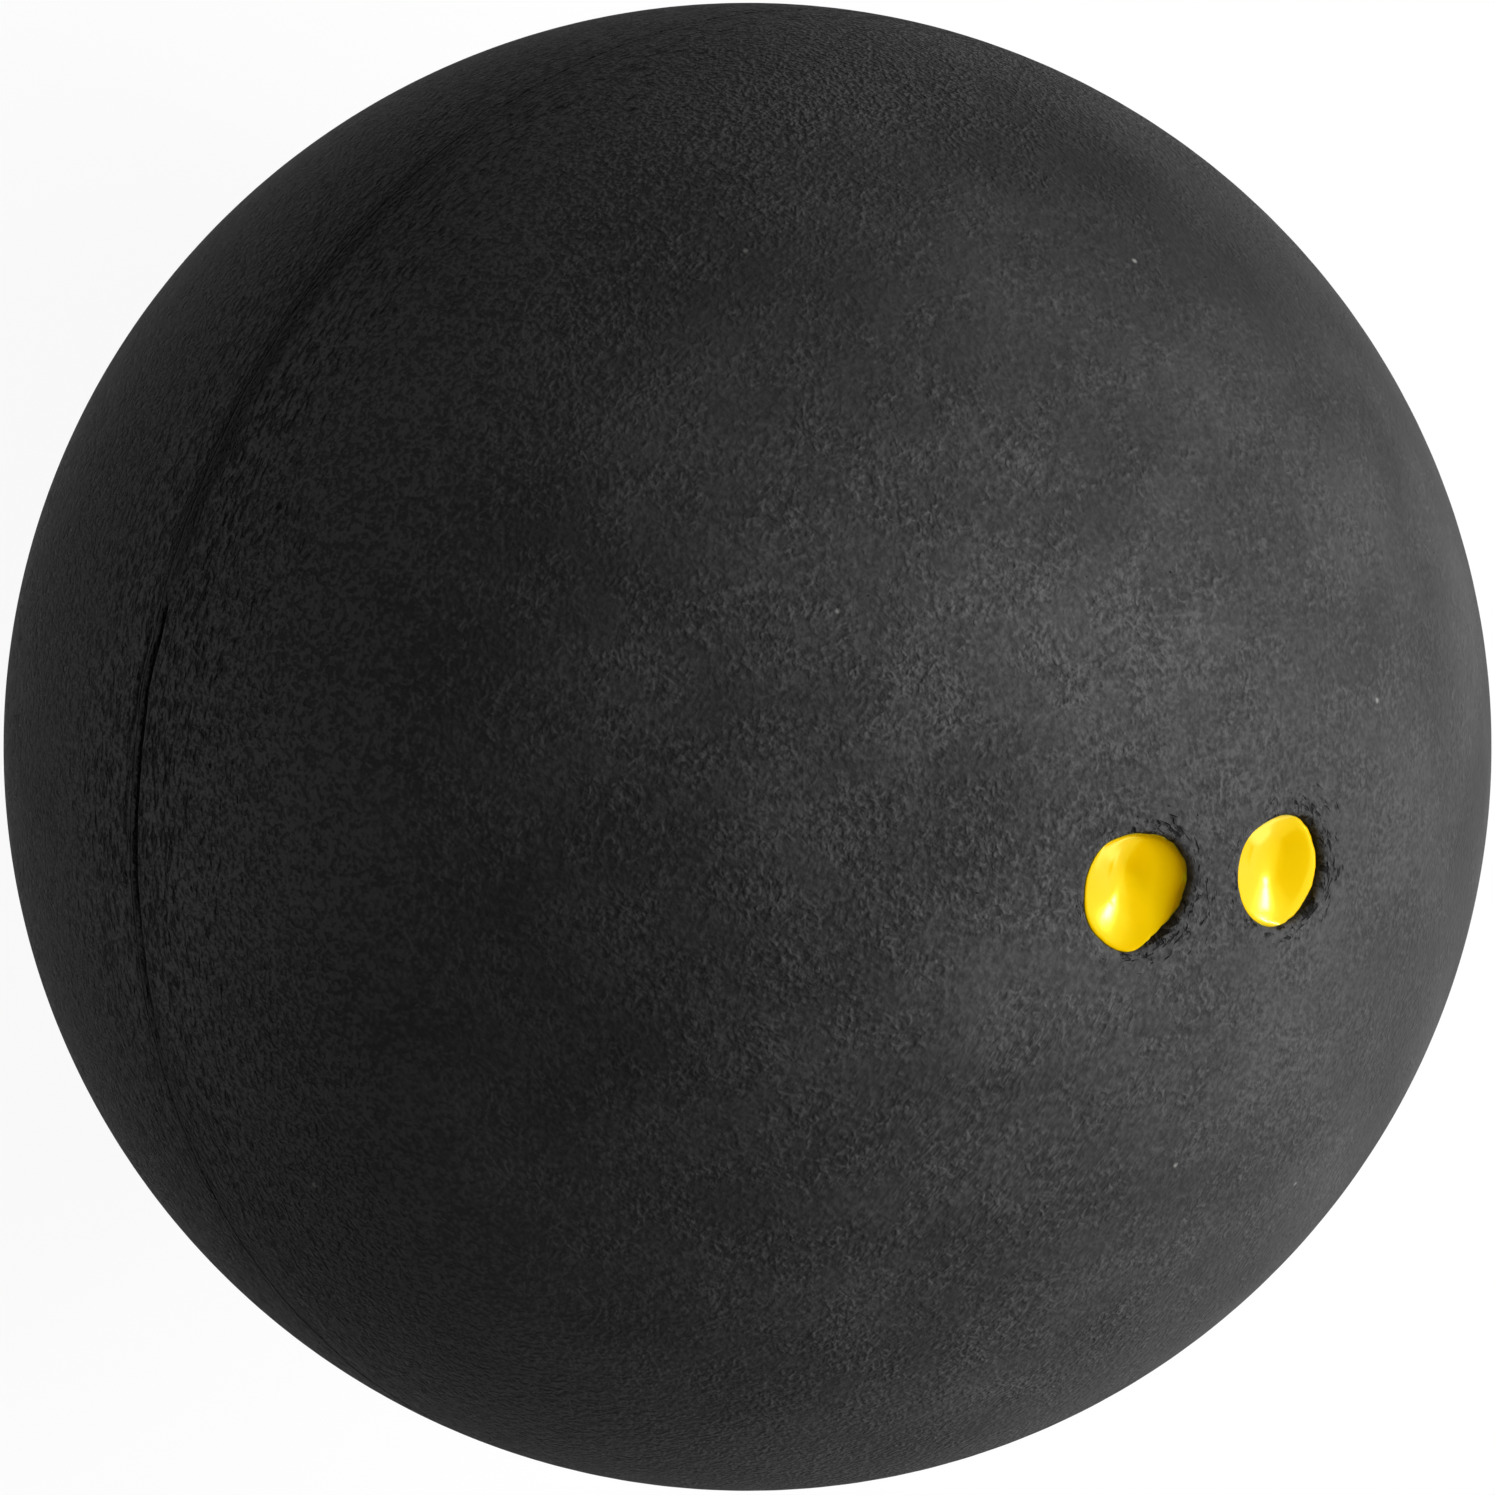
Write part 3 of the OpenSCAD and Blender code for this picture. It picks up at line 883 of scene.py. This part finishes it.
# Seam cement, a film between the bonding faces that ends in a rounded bead inside the ball

cementSizes = {
    "outerRadius": ballRadius - 0.02 * mm,
    "cavityRadius": ballRadius - dottedShellSizes["wall"],
    "halfFilm": 0.049 * mm,
    "beadWidth": 1.2 * mm,
    "beadHeight": 0.35 * mm,
    "turns": 720,
    "rings": 16,
}

cementPlan = {  # shares of the profile, from the bead's top to the film's outer edge
    "beadEdge": (0.0, 0.5, 0.0, 1.0),
    "filmStart": 0.51,
    "filmEdge": (0.57, 0.92, 0.0, 1.0),
    "edgeStart": 0.99,
}


def cementTree(sizes, seam, plan):
    tree = newShapeTree("seamCement", sizes)
    add = partial(addNode, tree)
    given = add("NodeGroupInput").outputs
    columns = add("ShaderNodeMath", [given["rings"], 2.0, 1.0], operation="MULTIPLY_ADD")
    rows = add("ShaderNodeMath", [given["turns"], 1.0])
    grid = add("GeometryNodeMeshGrid", [2.0, 2.0, columns, rows])
    corner = add("ShaderNodeSeparateXYZ", [add("GeometryNodeInputPosition")]).outputs
    side = add("ShaderNodeMath", [corner[0]], operation="SIGN")
    size = add("ShaderNodeMath", [corner[0]], operation="ABSOLUTE")
    turn = add("ShaderNodeMath", [corner[1], math.pi], operation="MULTIPLY")

    # the profile: half its rows go over the bead, and the rest along the film to its flat outer edge
    beadShare = add("ShaderNodeMapRange", [size, *plan["beadEdge"]])
    beadTurn = add("ShaderNodeMath", [beadShare, math.pi / 2], operation="MULTIPLY")
    beadRise, beadSide = cosAndSin(tree, beadTurn)
    beadLift = add("ShaderNodeMath", [beadRise, given["beadHeight"]], operation="MULTIPLY")
    beadRadius = add("ShaderNodeMath", [given["cavityRadius"], beadLift], operation="SUBTRACT")
    beadHalf = add("ShaderNodeMath", [given["beadWidth"], 0.5], operation="MULTIPLY")
    beadZ = add("ShaderNodeMath", [beadSide, beadHalf], operation="MULTIPLY")
    filmShare = add("ShaderNodeMapRange", [size, *plan["filmEdge"]])
    filmRadius = add("ShaderNodeMix", [filmShare, given["cavityRadius"], given["outerRadius"]])
    isFilm = add("ShaderNodeMath", [size, plan["filmStart"]], operation="GREATER_THAN")
    isEdge = add("ShaderNodeMath", [size, plan["edgeStart"]], operation="GREATER_THAN")
    filmZ = add("ShaderNodeMix", [isEdge, given["halfFilm"], 0.0])
    radius = add("ShaderNodeMix", [isFilm, beadRadius, filmRadius])
    z = add("ShaderNodeMix", [isFilm, beadZ, filmZ])
    z = add("ShaderNodeMath", [z, side], operation="MULTIPLY")
    # the bead's sides lie on the cavity's round wall
    bulge = add("ShaderNodeMath", [beadZ, beadZ], operation="MULTIPLY")
    bulge = add("ShaderNodeMath", [bulge, 0.5], operation="MULTIPLY")
    bulge = add("ShaderNodeMath", [bulge, given["cavityRadius"]], operation="DIVIDE")
    bulge = add("ShaderNodeMix", [isFilm, bulge, 0.0])
    radius = add("ShaderNodeMath", [radius, bulge], operation="SUBTRACT")
    x, y = [add("ShaderNodeMath", [share, radius], operation="MULTIPLY") for share in cosAndSin(tree, turn)]
    place = add("ShaderNodeCombineXYZ", [x, y, z])
    ring = add("GeometryNodeSetPosition", {"Geometry": grid, "Position": place})
    ring = add("GeometryNodeMergeByDistance", {"Geometry": ring, "Distance": 1e-7})
    ring = add("GeometryNodeSetPosition", {"Geometry": ring, "Offset": seamWander(tree, seam)})
    endShapeTree(tree, shadeRound(tree, ring), given["material"])
    return tree


seamCement = growPiece("seamCement", cementTree(cementSizes, seamPlan, cementPlan), cementSizes, cement)
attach(seamCement, "root")
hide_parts("seam_cement")


# Lamps, floor and world

lampPlans = {  # degrees round the ball's axis from +X, degrees up, metres, and the share of a full exposure
    "key": {"azimuth": 5, "height": 36, "size": (0.03, 0.03), "level": 0.19},
    "keySoftbox": {"azimuth": 4, "height": 36, "size": (0.25, 0.25), "level": 0.17, "inGloss": False},
    "sideSoftbox": {"azimuth": 15, "height": 57, "size": (0.35, 0.35), "level": 1.2, "inGloss": False},
    "rimSoftbox": {"azimuth": -40, "height": 8, "size": (0.25, 0.25), "level": 0.25},
    "backSoftbox": {"azimuth": 190, "height": 20, "size": (0.2, 0.2), "level": 0.074},
    "glossCard": {"azimuth": -8, "height": 35, "size": (0.55, 0.28), "level": 0.38, "inDiffuse": False},
}
lampDistance = 0.4


def makeLamp(name, plan):
    data = bpy.data.lights.new(name, "AREA")
    data.shape = "RECTANGLE"
    data.size, data.size_y = plan["size"]
    data.energy = plan["level"] * (math.pi * lampDistance) ** 2  # at level 1 a colour renders as written
    lamp = bpy.data.objects.new(name, data)
    bpy.context.scene.collection.objects.link(lamp)
    lamp.visible_glossy = plan.get("inGloss", True)  # the paint would show the largest softboxes as a haze
    lamp.visible_diffuse = plan.get("inDiffuse", True)
    turn = math.radians(plan["azimuth"])
    tilt = math.radians(plan["height"])
    direction = Vector((math.cos(turn) * math.cos(tilt), math.sin(turn) * math.cos(tilt), math.sin(tilt)))
    lamp.matrix_world = (Matrix.Translation(direction * lampDistance)
                         @ direction.to_track_quat("Z", "Y").to_matrix().to_4x4())


for name, plan in lampPlans.items():
    makeLamp(name, plan)

floorPlan = {
    "size": 6.0,
    "seenColour": "#f4f4f4",
    "bounceColour": "#7c7c7c",  # what the floor sends back up at the ball
    "whiteShare": 0.94,
}


def makeFloor(plan):
    half = plan["size"] / 2
    level = cadLow[2]
    mesh = bpy.data.meshes.new("floor")
    corners = [(-half, -half, level), (half, -half, level), (half, half, level), (-half, half, level)]
    mesh.from_pydata(corners, [], [(0, 1, 2, 3)])
    floor = bpy.data.objects.new("floor", mesh)
    bpy.context.scene.collection.objects.link(floor)
    material = bpy.data.materials.new("paleFloor")
    tree = emptyTree(material)
    add = partial(addNode, tree)
    path = add("ShaderNodeLightPath").outputs
    seen = add("ShaderNodeMath", [path["Is Camera Ray"], path["Is Glossy Ray"]], operation="MAXIMUM")
    seen = add("ShaderNodeMath", [seen, path["Is Transmission Ray"]], operation="MAXIMUM")
    share = add("ShaderNodeMath", [seen, plan["whiteShare"]], operation="MULTIPLY")
    colour = add("ShaderNodeMix", [seen, srgb(plan["bounceColour"]), srgb(plan["seenColour"])],
                 data_type="RGBA")
    matte = add("ShaderNodeBsdfDiffuse", {"Color": colour})
    white = add("ShaderNodeEmission", [(1, 1, 1, 1), 1.0])
    add("ShaderNodeOutputMaterial", [add("ShaderNodeMixShader", [share, matte, white])])
    mesh.materials.append(material)


makeFloor(floorPlan)

worldPlan = {
    "fillLevel": 0.01,
}


def makeWorld(plan):
    world = bpy.data.worlds.new("studio")
    bpy.context.scene.world = world
    tree = emptyTree(world)
    seen = addNode(tree, "ShaderNodeLightPath").outputs["Is Camera Ray"]
    strength = addNode(tree, "ShaderNodeMapRange", [seen, 0.0, 1.0, plan["fillLevel"], 1.0])
    addNode(tree, "ShaderNodeOutputWorld", [addNode(tree, "ShaderNodeBackground", [(1, 1, 1, 1), strength])])


makeWorld(worldPlan)
bpy.context.scene.view_settings.view_transform = "Standard"
print("lamps, floor and world made")
